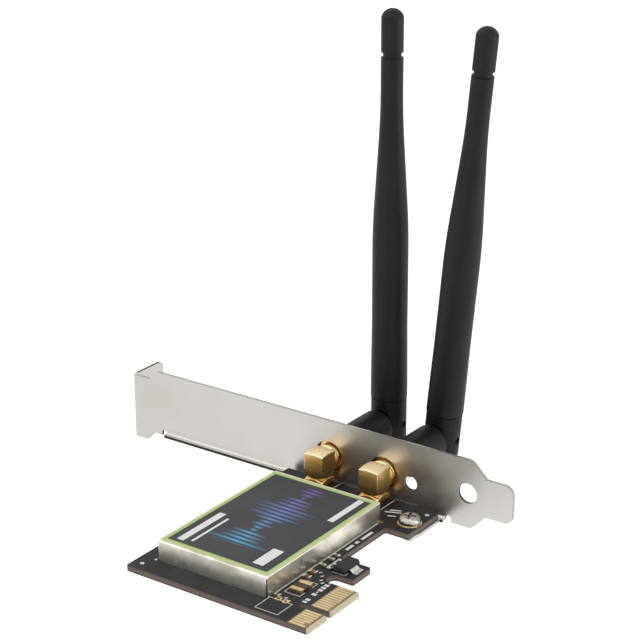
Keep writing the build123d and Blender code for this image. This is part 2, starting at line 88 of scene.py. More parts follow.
def satinNickelSteel():
    # cold rolled sheet under dull nickel: soft grey mirror with a fine orange peel; a cut edge has a painted
    # highlight along the middle of the sheet and painted shade at its two corners, and a punched hole has
    # painted shade all through
    # the cut edges' dark colour is painted shade, and core is a painted highlight along their middle
    steel = dict(colour="#CAC7C4", cloud="#C2BEB9", shadedCutEdge="#35322F", core="#DCD8D4",
                 rough=(0.315, 0.327), shearedRough=0.4, peelMm=0.45, peelSpan=(0.3, 0.7), depthMm=0.0007,
                 cloudMm=24.0, cloudSpan=(0.35, 0.7), edgeShare=0.44, coreShare=0.42, sheetMm=0.86,
                 flangeMm=11.43, bendMm=1.25, dropMm=2.65, lipFoldMm=2.1, lipFromMm=11.8, lipToMm=101.35,
                 lipReachMm=1.68, lipRimMm=0.06)
    low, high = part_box("bracket")
    half = steel["edgeShare"] * steel["sheetMm"] * mm  # clear of the sheet's two faces
    midPlate = high.y - (steel["flangeMm"] + steel["sheetMm"] / 2) * mm
    midFlange = low.x + steel["sheetMm"] / 2 * mm
    midLip = low.z + (steel["dropMm"] + steel["sheetMm"] / 2) * mm
    holes = [m for m in frame["record"]["mounts"] if m["kind"] == "bore"]
    holesTop = max(m["pos_m"][2] + m["dims"]["r_mm"] * mm for m in holes)
    holesEnd = max(m["pos_m"][0] + m["dims"]["r_mm"] * mm for m in holes)
    material, add, place = startMaterial("satin nickel steel")
    axes = add("ShaderNodeSeparateXYZ", {"Vector": place})

    # a cut edge is where a place lies between the two faces of the plate, the flange or the lip
    inPlate = add("ShaderNodeMath", {0: axes[1], 1: midPlate, 2: half}, operation="COMPARE")[0]
    inFlange = add("ShaderNodeMath", {0: axes[0], 1: midFlange, 2: half}, operation="COMPARE")[0]
    inLip = add("ShaderNodeMath", {0: axes[2], 1: midLip, 2: half}, operation="COMPARE")[0]
    pastBend = add("ShaderNodeMath", {0: axes[0], 1: low.x + steel["bendMm"] * mm},
                   operation="GREATER_THAN")[0]
    outFlange = add("ShaderNodeMath", {0: axes[1], 1: midPlate + steel["bendMm"] * mm},
                    operation="GREATER_THAN")[0]
    lipRim = add("ShaderNodeMath", {0: axes[1], 1: midPlate - steel["lipReachMm"] * mm,
                                    2: steel["lipRimMm"] * mm}, operation="COMPARE")[0]
    overFold = add("ShaderNodeMath", {0: axes[2], 1: low.z + (steel["dropMm"] + steel["lipFoldMm"]) * mm},
                   operation="GREATER_THAN")[0]
    beforeLip = add("ShaderNodeMath", {0: axes[0], 1: low.x + steel["lipFromMm"] * mm},
                    operation="LESS_THAN")[0]
    afterLip = add("ShaderNodeMath", {0: axes[0], 1: low.x + steel["lipToMm"] * mm},
                   operation="GREATER_THAN")[0]
    besideLip = add("ShaderNodeMath", {0: beforeLip, 1: afterLip}, operation="MAXIMUM")[0]
    offFold = add("ShaderNodeMath", {0: overFold, 1: besideLip}, operation="MAXIMUM")[0]
    flatPlate = add("ShaderNodeMath", {0: pastBend, 1: offFold}, operation="MULTIPLY")[0]
    plateEdge = add("ShaderNodeMath", {0: inPlate, 1: flatPlate}, operation="MULTIPLY")[0]
    flangeEdge = add("ShaderNodeMath", {0: inFlange, 1: outFlange}, operation="MULTIPLY")[0]
    lipEdge = add("ShaderNodeMath", {0: inLip, 1: lipRim}, operation="MULTIPLY")[0]
    # a band along the middle of the plate's cut edges takes a painted highlight
    middle = add("ShaderNodeMath", {0: axes[1], 1: midPlate, 2: steel["coreShare"] * half},
                 operation="COMPARE")[0]
    # the highlight band stops short of the holes, so their walls keep painted shade
    overHoles = add("ShaderNodeMath", {0: axes[2], 1: holesTop}, operation="GREATER_THAN")[0]
    pastHoles = add("ShaderNodeMath", {0: axes[0], 1: holesEnd}, operation="GREATER_THAN")[0]
    offHoles = add("ShaderNodeMath", {0: overHoles, 1: pastHoles}, operation="MAXIMUM")[0]
    highlightBand = add("ShaderNodeMath", {0: middle, 1: plateEdge}, operation="MULTIPLY")[0]
    core = add("ShaderNodeMath", {0: highlightBand, 1: offHoles}, operation="MULTIPLY")[0]
    foldedEdge = add("ShaderNodeMath", {0: flangeEdge, 1: lipEdge}, operation="MAXIMUM")[0]
    shadedCutEdge = add("ShaderNodeMath", {0: plateEdge, 1: foldedEdge}, operation="MAXIMUM")[0]

    peel = add("ShaderNodeTexNoise", {"Vector": place, "Scale": perMm(steel["peelMm"]), "Detail": 2.0})[0]
    cloud = add("ShaderNodeTexNoise", {"Vector": place, "Scale": perMm(steel["cloudMm"]), "Detail": 2.0})[0]
    patch = add("ShaderNodeMapRange", {0: cloud, 1: steel["cloudSpan"][0], 2: steel["cloudSpan"][1]})[0]
    faces = add("ShaderNodeMix", {0: patch, 6: hexColour(steel["colour"]), 7: hexColour(steel["cloud"])},
                data_type="RGBA")[2]
    # cut edges take painted shade, and their middle band takes a painted highlight
    shadeEdged = add("ShaderNodeMix", {0: shadedCutEdge, 6: faces, 7: hexColour(steel["shadedCutEdge"])},
                data_type="RGBA")[2]
    colour = add("ShaderNodeMix", {0: core, 6: shadeEdged, 7: hexColour(steel["core"])}, data_type="RGBA")[2]
    faceRough = add("ShaderNodeMapRange", {0: peel, 1: steel["peelSpan"][0], 2: steel["peelSpan"][1],
                                           3: steel["rough"][0], 4: steel["rough"][1]})[0]
    rough = add("ShaderNodeMix", {0: shadedCutEdge, 2: faceRough, 3: steel["shearedRough"]})[0]
    bump = add("ShaderNodeBump", {"Height": peel, "Distance": steel["depthMm"] * mm})[0]
    shader = add("ShaderNodeBsdfPrincipled", {"Base Color": colour, "Metallic": 1.0, "Roughness": rough,
                                              "Normal": bump})[0]
    add("ShaderNodeOutputMaterial", {"Surface": shader})
    return material


def scuffedTinplate():
    # tinned steel can: warm grey soft mirror, broad smudges from handling, faint streaks up the walls and
    # the shallow waves of thin drawn sheet
    tin = dict(colour="#F0EBDF", smudge="#CAC4B6", smudgeMm=5.0, smudgeSpan=(0.42, 0.72), streakMm=0.7,
               streakStretch=0.2, streakShare=0.35, wornSpan=(0.35, 0.65), rough=(0.27, 0.41),
               depthMm=0.0015, waveMm=3.2, waveDepthMm=0.05)
    material, add, place = startMaterial("scuffed tinplate")
    upright = add("ShaderNodeMapping", {"Vector": place, "Scale": (1.0, 1.0, tin["streakStretch"])})[0]
    smudge = add("ShaderNodeTexNoise", {"Vector": place, "Scale": perMm(tin["smudgeMm"]), "Detail": 4.0})[0]
    streak = add("ShaderNodeTexNoise", {"Vector": upright, "Scale": perMm(tin["streakMm"]),
                                        "Detail": 2.0})[0]
    patch = add("ShaderNodeMapRange", {0: smudge, 1: tin["smudgeSpan"][0], 2: tin["smudgeSpan"][1]})[0]
    colour = add("ShaderNodeMix", {0: patch, 6: hexColour(tin["colour"]), 7: hexColour(tin["smudge"])},
                 data_type="RGBA")[2]
    worn = add("ShaderNodeMix", {0: tin["streakShare"], 2: smudge, 3: streak})[0]
    rough = add("ShaderNodeMapRange", {0: worn, 1: tin["wornSpan"][0], 2: tin["wornSpan"][1],
                                       3: tin["rough"][0], 4: tin["rough"][1]})[0]
    wave = add("ShaderNodeTexNoise", {"Vector": place, "Scale": perMm(tin["waveMm"]), "Detail": 1.0})[0]
    drawn = add("ShaderNodeBump", {"Height": wave, "Distance": tin["waveDepthMm"] * mm})[0]
    bump = add("ShaderNodeBump", {"Height": streak, "Distance": tin["depthMm"] * mm, "Normal": drawn})[0]
    shader = add("ShaderNodeBsdfPrincipled", {"Base Color": colour, "Metallic": 1.0, "Roughness": rough,
                                              "Normal": bump})[0]
    add("ShaderNodeOutputMaterial", {"Surface": shader})
    return material


def platedMetal(name, colour, dull, rough, toolMm, depthMm):
    # thin plating over a machined or stamped part: clear warm or white mirror with fine tool marks,
    # duller where it has tarnished
    tarnishSpread = 7
    tarnishSpan = (0.45, 0.75)
    markSpan = (0.3, 0.7)
    material, add, place = startMaterial(name)
    marks = add("ShaderNodeTexNoise", {"Vector": place, "Scale": perMm(toolMm), "Detail": 3.0})[0]
    patches = add("ShaderNodeTexNoise", {"Vector": place, "Scale": perMm(toolMm * tarnishSpread),
                                         "Detail": 3.0})[0]
    tarnish = add("ShaderNodeMapRange", {0: patches, 1: tarnishSpan[0], 2: tarnishSpan[1]})[0]
    tone = add("ShaderNodeMix", {0: tarnish, 6: hexColour(colour), 7: hexColour(dull)}, data_type="RGBA")[2]
    sheen = add("ShaderNodeMapRange", {0: marks, 1: markSpan[0], 2: markSpan[1], 3: rough[0],
                                       4: rough[1]})[0]
    bump = add("ShaderNodeBump", {"Height": marks, "Distance": depthMm * mm})[0]
    shader = add("ShaderNodeBsdfPrincipled", {"Base Color": tone, "Metallic": 1.0, "Roughness": sheen,
                                              "Normal": bump})[0]
    add("ShaderNodeOutputMaterial", {"Surface": shader})
    return material


def castJackGold():
    # gold flash over a die cast elbow: deep yellow mirror on the flat sides, pitted on the domed top with a
    # paler colour there as painted highlight, and a painted highlight along its edges
    cast = dict(side="#EAC47A", sideDull="#DDB468", top="#FAE6BE", topDull="#E8CA9E", highlightColour="#FFF0CC",
                domeMm=0.85, softMm=0.25, pitMm=0.6, pitSpan=(0.3, 0.7), wornSpan=(0.42, 0.68),
                sideRough=(0.34, 0.38), topRough=0.42, edgeRough=0.24, depthMm=0.0004)
    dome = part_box("jack_body_left")[1].z - cast["domeMm"] * mm
    material, add, place = startMaterial("gold flashed casting")
    axes = add("ShaderNodeSeparateXYZ", {"Vector": place})
    # the domed top takes a paler colour as a painted highlight
    onTop = add("ShaderNodeMapRange", {0: axes[2], 1: dome - cast["softMm"] * mm,
                                       2: dome + cast["softMm"] * mm})[0]
    pits = add("ShaderNodeTexNoise", {"Vector": place, "Scale": perMm(cast["pitMm"]), "Detail": 3.0})[0]
    worn = add("ShaderNodeMapRange", {0: pits, 1: cast["wornSpan"][0], 2: cast["wornSpan"][1]})[0]
    side = add("ShaderNodeMix", {0: worn, 6: hexColour(cast["side"]), 7: hexColour(cast["sideDull"])},
               data_type="RGBA")[2]
    top = add("ShaderNodeMix", {0: worn, 6: hexColour(cast["top"]), 7: hexColour(cast["topDull"])},
              data_type="RGBA")[2]
    plain = add("ShaderNodeMix", {0: onTop, 6: side, 7: top}, data_type="RGBA")[2]
    # painted highlight along the block's upright edges and its roll into the dome
    edgeHighlight = add("ShaderNodeAttribute", attribute_name="edgeHighlight")["Fac"]
    colour = add("ShaderNodeMix", {0: edgeHighlight, 6: plain, 7: hexColour(cast["highlightColour"])},
                 data_type="RGBA")[2]
    sideRough = add("ShaderNodeMapRange", {0: pits, 1: cast["pitSpan"][0], 2: cast["pitSpan"][1],
                                           3: cast["sideRough"][0], 4: cast["sideRough"][1]})[0]
    plainRough = add("ShaderNodeMix", {0: onTop, 2: sideRough, 3: cast["topRough"]})[0]
    rough = add("ShaderNodeMix", {0: edgeHighlight, 2: plainRough, 3: cast["edgeRough"]})[0]
    bump = add("ShaderNodeBump", {"Height": pits, "Distance": cast["depthMm"] * mm})[0]
    shader = add("ShaderNodeBsdfPrincipled", {"Base Color": colour, "Metallic": 1.0, "Roughness": rough,
                                              "Normal": bump})[0]
    add("ShaderNodeOutputMaterial", {"Surface": shader})
    return material


def maskedLaminate():
    # glass laminate under black solder mask: satin black faces, bare brown edges with glass layers,
    # and a bare olive tab with a pale cut bevel where the contacts are
    board = dict(mask="#1F1E22", worn="#29282C", edge="#70655F", edgeDark="#514846", tab="#8E8462",
                 bevel="#C6BDA4", layerMm=4.0, speckMm=0.12, cloudMm=6.0, cloudSpan=(0.4, 0.7), faceMm=0.02,
                 tabBackMm=0.35, tabSideMm=1.5, bevelMm=0.72, maskRough=0.46, bareRough=0.75,
                 depthMm=0.005, specular=0.18)
    low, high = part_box("circuit_board")
    contactsLow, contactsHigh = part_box("edge_contacts_top")
    tabStart = contactsLow.x - board["tabBackMm"] * mm
    tabSide = contactsHigh.y + board["tabSideMm"] * mm
    material, add, place = startMaterial("black masked laminate")
    axes = add("ShaderNodeSeparateXYZ", {"Vector": place})
    cloud = add("ShaderNodeTexNoise", {"Vector": place, "Scale": perMm(board["cloudMm"]), "Detail": 4.0})[0]
    speck = add("ShaderNodeTexNoise", {"Vector": place, "Scale": perMm(board["speckMm"]), "Detail": 2.0})[0]
    layers = add("ShaderNodeTexWave", {"Vector": place, "Scale": perMm(board["layerMm"]), "Distortion": 1.5,
                                       "Detail": 2.0}, bands_direction="Z")[1]
    height = add("ShaderNodeMath", {0: axes[2]}, operation="ABSOLUTE")[0]
    onFace = add("ShaderNodeMath", {0: height, 1: high.z - board["faceMm"] * mm},
                 operation="GREATER_THAN")[0]
    atEnd = add("ShaderNodeMath", {0: axes[0], 1: tabStart}, operation="GREATER_THAN")[0]
    offHook = add("ShaderNodeMath", {0: axes[1], 1: tabSide}, operation="LESS_THAN")[0]
    onTab = add("ShaderNodeMath", {0: atEnd, 1: offHook}, operation="MULTIPLY")[0]
    onBevel = add("ShaderNodeMath", {0: axes[0], 1: high.x - board["bevelMm"] * mm},
                  operation="GREATER_THAN")[0]
    patch = add("ShaderNodeMapRange", {0: cloud, 1: board["cloudSpan"][0], 2: board["cloudSpan"][1]})[0]
    mask = add("ShaderNodeMix", {0: patch, 6: hexColour(board["mask"]), 7: hexColour(board["worn"])},
               data_type="RGBA")[2]
    fibre = add("ShaderNodeMath", {0: layers, 1: speck}, operation="MULTIPLY")[0]
    edge = add("ShaderNodeMix", {0: fibre, 6: hexColour(board["edge"]), 7: hexColour(board["edgeDark"])},
               data_type="RGBA")[2]
    face = add("ShaderNodeMix", {0: onTab, 6: mask, 7: hexColour(board["tab"])}, data_type="RGBA")[2]
    sawn = add("ShaderNodeMix", {0: onFace, 6: edge, 7: face}, data_type="RGBA")[2]
    colour = add("ShaderNodeMix", {0: onBevel, 6: sawn, 7: hexColour(board["bevel"])}, data_type="RGBA")[2]
    offTab = add("ShaderNodeMath", {0: 1.0, 1: onTab}, operation="SUBTRACT")[0]
    masked = add("ShaderNodeMath", {0: onFace, 1: offTab}, operation="MULTIPLY")[0]
    rough = add("ShaderNodeMix", {0: masked, 2: board["bareRough"], 3: board["maskRough"]})[0]
    bump = add("ShaderNodeBump", {"Height": speck, "Distance": board["depthMm"] * mm})[0]
    shader = add("ShaderNodeBsdfPrincipled", {"Base Color": colour, "Roughness": rough, "Normal": bump,
                                              "Specular IOR Level": board["specular"]})[0]
    add("ShaderNodeOutputMaterial", {"Surface": shader})
    return material


def printedFilm():
    # printed film label: satin charcoal field, pale green border, a row of blue to violet bars
    # and plain light fields
    film = dict(field="#28282C", fieldLight="#353539", border="#C6D09C", borderLine="#AFC878",
                white="#E6E6E4", cyan="#4FA9D8", violet="#7A55B4", borderMm=1.25, lineMm=0.62,
                cloudMm=16.0, cloudSpan=(0.35, 0.75), fineMm=0.3, rough=(0.36, 0.5), depthMm=0.002,
                specular=0.3, barPitchMm=1.7, barFill=0.55, barMiddle=-0.5, barTall=5.0,
                barSwing=(3.2, 0.55), barRipple=(1.3, 2.1), barField=((2.5, 0.0), (34.0, 24.0)),
                hueFrom=-13.0, hueTo=18.0, glow=0.9)
    # middle and size along and across the label, in millimetres
    plainFields = [((-11.9, -11.8), (16.6, 1.9)), ((-12.2, -9.0), (14.0, 0.7)),
                   ((14.4, 11.9), (13.6, 1.7)), ((-15.4, 10.6), (8.4, 3.0))]
    low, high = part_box("shield_label")
    half = (high - low) / (2 * mm)
    material, add, place = startMaterial("printed film")
    offset = add("ShaderNodeVectorMath", {0: place, 1: tuple((low + high) / 2)}, operation="SUBTRACT")[0]
    sheet = add("ShaderNodeVectorMath", {0: offset, "Scale": 1 / mm}, operation="SCALE")[0]
    axes = add("ShaderNodeSeparateXYZ", {"Vector": sheet})
    v, u = axes[0], axes[1]  # u along the label, v across it, in millimetres from its middle

    def fieldMask(middle, size):  # 1 inside a plain rectangle, 0 outside it
        beyond = []
        for along, centre, wide in zip((u, v), middle, size):
            shifted = add("ShaderNodeMath", {0: along, 1: centre}, operation="SUBTRACT")[0]
            away = add("ShaderNodeMath", {0: shifted}, operation="ABSOLUTE")[0]
            beyond.append(add("ShaderNodeMath", {0: away, 1: wide / 2}, operation="SUBTRACT")[0])
        furthest = add("ShaderNodeMath", {0: beyond[0], 1: beyond[1]}, operation="MAXIMUM")[0]
        return add("ShaderNodeMath", {0: furthest, 1: 0.0}, operation="LESS_THAN")[0]

    # each bar stands both ways from a middle line and is as tall as two sines of its number say,
    # fading to its ends
    step = add("ShaderNodeMath", {0: u, 1: film["barPitchMm"]}, operation="DIVIDE")[0]
    number = add("ShaderNodeMath", {0: step}, operation="FLOOR")[0]
    part = add("ShaderNodeMath", {0: step}, operation="FRACT")[0]
    inBar = add("ShaderNodeMath", {0: part, 1: film["barFill"]}, operation="LESS_THAN")[0]
    tall = film["barTall"]
    for reach, rate in (film["barSwing"], film["barRipple"]):
        turn = add("ShaderNodeMath", {0: number, 1: rate}, operation="MULTIPLY")[0]
        wave = add("ShaderNodeMath", {0: turn}, operation="SINE")[0]
        tall = add("ShaderNodeMath", {0: wave, 1: reach, 2: tall}, operation="MULTIPLY_ADD")[0]
    fromMiddle = add("ShaderNodeMath", {0: v, 1: film["barMiddle"]}, operation="SUBTRACT")[0]
    rise = add("ShaderNodeMath", {0: fromMiddle}, operation="ABSOLUTE")[0]
    share = add("ShaderNodeMath", {0: rise, 1: tall}, operation="DIVIDE")[0]
    fade = add("ShaderNodeMath", {0: 1.0, 1: share}, operation="SUBTRACT", use_clamp=True)[0]
    barFade = add("ShaderNodeMath", {0: inBar, 1: fade}, operation="MULTIPLY")[0]
    bars = add("ShaderNodeMath", {0: barFade, 1: fieldMask(*film["barField"])}, operation="MULTIPLY")[0]
    glow = add("ShaderNodeMath", {0: bars, 1: film["glow"]}, operation="MULTIPLY")[0]
    across = add("ShaderNodeMapRange", {0: u, 1: film["hueFrom"], 2: film["hueTo"]})[0]
    hue = add("ShaderNodeMix", {0: across, 6: hexColour(film["cyan"]), 7: hexColour(film["violet"])},
              data_type="RGBA")[2]
    cloud = add("ShaderNodeTexNoise", {"Vector": place, "Scale": perMm(film["cloudMm"]), "Detail": 2.0})[0]
    patch = add("ShaderNodeMapRange", {0: cloud, 1: film["cloudSpan"][0], 2: film["cloudSpan"][1]})[0]
    field = add("ShaderNodeMix", {0: patch, 6: hexColour(film["field"]), 7: hexColour(film["fieldLight"])},
                data_type="RGBA")[2]
    colour = add("ShaderNodeMix", {0: glow, 6: field, 7: hue}, data_type="RGBA")[2]
    for middle, size in plainFields:
        inside = fieldMask(middle, size)
        colour = add("ShaderNodeMix", {0: inside, 6: colour, 7: hexColour(film["white"])},
                     data_type="RGBA")[2]
    inner = [fieldMask((0, 0), (2 * (half.y - wide), 2 * (half.x - wide)))
             for wide in (film["lineMm"], film["borderMm"])]
    rim = add("ShaderNodeMix", {0: inner[0], 6: hexColour(film["border"]), 7: hexColour(film["borderLine"])},
              data_type="RGBA")[2]
    colour = add("ShaderNodeMix", {0: inner[1], 6: rim, 7: colour}, data_type="RGBA")[2]
    fine = add("ShaderNodeTexNoise", {"Vector": place, "Scale": perMm(film["fineMm"]), "Detail": 2.0})[0]
    rough = add("ShaderNodeMapRange", {0: fine, 3: film["rough"][0], 4: film["rough"][1]})[0]
    bump = add("ShaderNodeBump", {"Height": fine, "Distance": film["depthMm"] * mm})[0]
    shader = add("ShaderNodeBsdfPrincipled", {"Base Color": colour, "Roughness": rough, "Normal": bump,
                                              "Specular IOR Level": film["specular"]})[0]
    add("ShaderNodeOutputMaterial", {"Surface": shader})
    return material


def mouldedPlastic(name, colour, light, rough, grainMm, depthMm, specular):
    # moulded plastic, rubber or ink: even matt skin with a fine spark eroded grain and slow tone changes
    toneSpread = 40
    toneSpan = (0.35, 0.7)
    grainSpan = (0.3, 0.7)
    material, add, place = startMaterial(name)
    grain = add("ShaderNodeTexNoise", {"Vector": place, "Scale": perMm(grainMm), "Detail": 3.0})[0]
    cloud = add("ShaderNodeTexNoise", {"Vector": place, "Scale": perMm(grainMm * toneSpread),
                                       "Detail": 3.0})[0]
    patch = add("ShaderNodeMapRange", {0: cloud, 1: toneSpan[0], 2: toneSpan[1]})[0]
    tone = add("ShaderNodeMix", {0: patch, 6: hexColour(colour), 7: hexColour(light)}, data_type="RGBA")[2]
    sheen = add("ShaderNodeMapRange", {0: grain, 1: grainSpan[0], 2: grainSpan[1], 3: rough[0],
                                       4: rough[1]})[0]
    bump = add("ShaderNodeBump", {"Height": grain, "Distance": depthMm * mm})[0]
    shader = add("ShaderNodeBsdfPrincipled", {"Base Color": tone, "Roughness": sheen, "Normal": bump,
                                              "Specular IOR Level": specular})[0]
    add("ShaderNodeOutputMaterial", {"Surface": shader})
    return material


# plated metal: two colours, roughness from and to, tool marks and their depth in millimetres;
# moulded plastic: two colours, roughness from and to, grain and its depth in millimetres, gloss
looks = {
    "solder_mask": maskedLaminate(),
    "gold_plating": platedMetal("contact gold plate", "#E4CCA0", "#D0B488", (0.3, 0.42), 0.25, 0.002),
    "bracket_steel": satinNickelSteel(),
    "screw_steel": platedMetal("bright zinc plate", "#B4B0AA", "#8E8A84", (0.07, 0.11), 0.5, 0.001),
    "tinplate": scuffedTinplate(),
    "label_print": printedFilm(),
    "chip_plastic": mouldedPlastic("epoxy moulding compound", "#232223", "#2C2B2E", (0.5, 0.62), 0.12,
                                   0.005, 0.25),
    "ferrite": mouldedPlastic("pressed ferrite", "#3A3A3C", "#2B2B2D", (0.5, 0.65), 0.15, 0.004, 0.4),
    "ceramic": mouldedPlastic("fired capacitor ceramic", "#8C6440", "#6F4C30", (0.5, 0.6), 0.15, 0.004,
                              0.4),
    "resistor_ceramic": mouldedPlastic("fired resistor ceramic", "#A0977C", "#6E6653", (0.5, 0.6), 0.15,
                                       0.004, 0.4),
    "solder_tin": platedMetal("reflowed solder tin", "#D6D5D1", "#BDBBB5", (0.22, 0.36), 0.3, 0.003),
    "fuse_plastic": mouldedPlastic("brown laminate", "#3A2B20", "#4A3828", (0.45, 0.6), 0.15, 0.005, 0.4),
    "jack_gold": platedMetal("gold plated brass", "#E8C884", "#D4AE66", (0.16, 0.22), 0.5, 0.0006),
    "white_insulator": mouldedPlastic("turned white resin", "#E4E3DC", "#D8D6CC", (0.4, 0.5), 0.2, 0.003,
                                      0.4),
    "black_plastic": mouldedPlastic("matt black moulding", "#0B0B0C", "#121213", (0.46, 0.58), 0.3, 0.012,
                                    0.22),
    "black_rubber": mouldedPlastic("matt black overmould", "#0F0F11", "#161618", (0.44, 0.54), 0.3, 0.01,
                                   0.24),
    "coax_jacket": mouldedPlastic("smooth cable jacket", "#181818", "#202020", (0.4, 0.5), 0.2, 0.003, 0.4),
    "brass_tube": platedMetal("drawn brass", "#C9A45E", "#B08A48", (0.25, 0.4), 0.3, 0.002),
}
jackCasting = castJackGold()
silkInk = mouldedPlastic("white silk screen ink", "#E2E2DE", "#D2D2CE", (0.6, 0.7), 0.1, 0.004, 0.25)
print("materials made:", len(looks) + 2)


# CAD nodes: each takes its slot's material, and its sharp edges get a small real radius, in millimetres

edgeRadii = dict(
    bracket=0.05, bracket_screw=0.05, circuit_board=0.03, shield_can=0.03,
    coupling_nut=0.15, plug_shell=0.05, antenna_base=0.1, antenna_fork=0.14, antenna_sheath=0.08,
    hinge_pin=0.1, regulator_body=0.08, regulator_leads=0.03, fuse_body=0.04, fuse_ends=0.05,
    capacitor_bodies=0.04, capacitor_ends=0.06, resistor_bodies=0.03, resistor_ends=0.05,
    wifi_chip=0.05, memory_chip=0.06, power_inductor=0.15, crystal=0.1)
dressing = dict(sharpFrom=math.radians(40), weld=0.001 * mm, segments=2)
for part in frame["record"]["subparts"]:
    node = nodes[part["node"]]
    node.data.materials.clear()
    stem = part["node"].removesuffix("_left").removesuffix("_right")
    node.data.materials.append(jackCasting if stem == "jack_body" else looks[part["material_slot"]])
    if stem in edgeRadii:
        weld = node.modifiers.new("weld", "WELD")
        weld.merge_threshold = dressing["weld"]
        bevel = node.modifiers.new("edge radius", "BEVEL")
        bevel.width = edgeRadii[stem] * mm
        bevel.segments = dressing["segments"]
        bevel.limit_method = "ANGLE"
        bevel.angle_limit = dressing["sharpFrom"]
        node.modifiers.new("even normals", "WEIGHTED_NORMAL").keep_sharp = True
print("nodes dressed")


# New pieces: surfaces worked out on a grid

def gridFaces(rows, columns):  # quads between neighbours of a grid that wraps both ways, row by row
    i = np.arange(rows)[:, None]
    j = np.arange(columns)[None, :]
    nextI = (i + 1) % rows
    nextJ = (j + 1) % columns
    corners = [i * columns + j, i * columns + nextJ, nextI * columns + nextJ, nextI * columns + j]
    return np.stack(corners, axis=-1).reshape(-1, 4)


def makePiece(name, points, faces, look, smooth=True, highlight=None):
    # a mesh piece that rides on the card, its poles merged, with a painted edge highlight value at each
    # point where given
    mergeWithin = 0.0001 * mm
    mesh = bpy.data.meshes.new(name)
    mesh.from_pydata(points.reshape(-1, 3).tolist(), [], faces.tolist())
    if highlight is not None:
        mesh.attributes.new("edgeHighlight", "FLOAT", "POINT").data.foreach_set("value", highlight)
    mesh.polygons.foreach_set("use_smooth", np.full(len(mesh.polygons), smooth))
    mesh.materials.append(look)
    merged = bmesh.new()
    merged.from_mesh(mesh)
    bmesh.ops.remove_doubles(merged, verts=merged.verts, dist=mergeWithin)
    bmesh.ops.dissolve_degenerate(merged, edges=merged.edges, dist=mergeWithin)
    merged.to_mesh(mesh)
    merged.free()
    piece = bpy.data.objects.new(name, mesh)
    bpy.context.scene.collection.objects.link(piece)
    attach(piece, "card")
    return piece


def helixSleeve(middle, axis, start, end, thread):
    # a closed sleeve: its outside radius is the core plus a ridge that follows a triangle wave of
    # (distance along the axis / pitch - turns), easing to nothing at both ends; its inside is a plain bore
    around = 72
    perTurn = 14
    runOut = 0.4  # share of a turn over which the ridge rises and dies
    length = np.linspace(start, end, int((end - start) / thread["pitch"] * perTurn) + 2)
    angle = np.linspace(0, 2 * np.pi, around, endpoint=False)
    a, s = np.meshgrid(angle, length, indexing="ij")
    phase = (s - start) / thread["pitch"] - a / (2 * np.pi)
    wave = 1 - np.abs(2 * (phase - np.floor(phase)) - 1)
    ease = np.clip(np.minimum(s - start, end - s) / (runOut * thread["pitch"]), 0, 1)
    outside = thread["core"] + thread["ridge"] * wave * ease
    inside = np.full((around, 2), thread["core"] - thread["wall"])
    radius = np.concatenate([outside, inside], axis=1)
    travel = np.concatenate([s, np.broadcast_to([end, start], (around, 2))], axis=1)
    turn = np.concatenate([a, a[:, :2]], axis=1)
    along = np.array(axis)
    u = np.roll(along, 1)
    v = np.roll(along, 2)
    points = (np.array(middle) + (radius * np.cos(turn))[..., None] * u
              + (radius * np.sin(turn))[..., None] * v + travel[..., None] * along)
    return points, gridFaces(*radius.shape)


boardLow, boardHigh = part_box("circuit_board")
jackThread = dict(core=3.165 * mm, ridge=0.22 * mm, pitch=0.706 * mm, wall=0.15 * mm,
                  collarEnd=6.55 * mm, nutGap=0.03 * mm)  # the collar ends this far from the jack's back
for side in sides:
    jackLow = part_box(f"jack_body_{side}")[0]
    nutLow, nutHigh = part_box(f"coupling_nut_{side}")
    axisAt = ((nutLow.x + nutHigh.x) / 2, 0, (nutLow.z + nutHigh.z) / 2)
    points, faces = helixSleeve(axisAt, (0, 1, 0), jackLow.y + jackThread["collarEnd"],
                                nutLow.y - jackThread["nutGap"], jackThread)
    makePiece(f"jack_thread_{side}", points, faces, looks["jack_gold"])

# jack castings in place of the plain bodies
jackCast = dict(half=2.9 * mm, corner=30, turn=4.3 * mm, waistZ=2.25 * mm, waistHigh=0.92 * mm,
                waistR=2.75 * mm, ease=0.12 * mm, easeShare=0.45, edge=0.2 * mm, domeR=12.0 * mm,
                collarR=3.55 * mm, collar=0.75 * mm, collarEdge=0.14 * mm, tubeR=jackThread["core"],
                tubeEase=0.3 * mm, bore=2.05 * mm, legR=0.49 * mm, legOut=1.95 * mm, legEase=0.15 * mm,
                sunk=0.05 * mm)


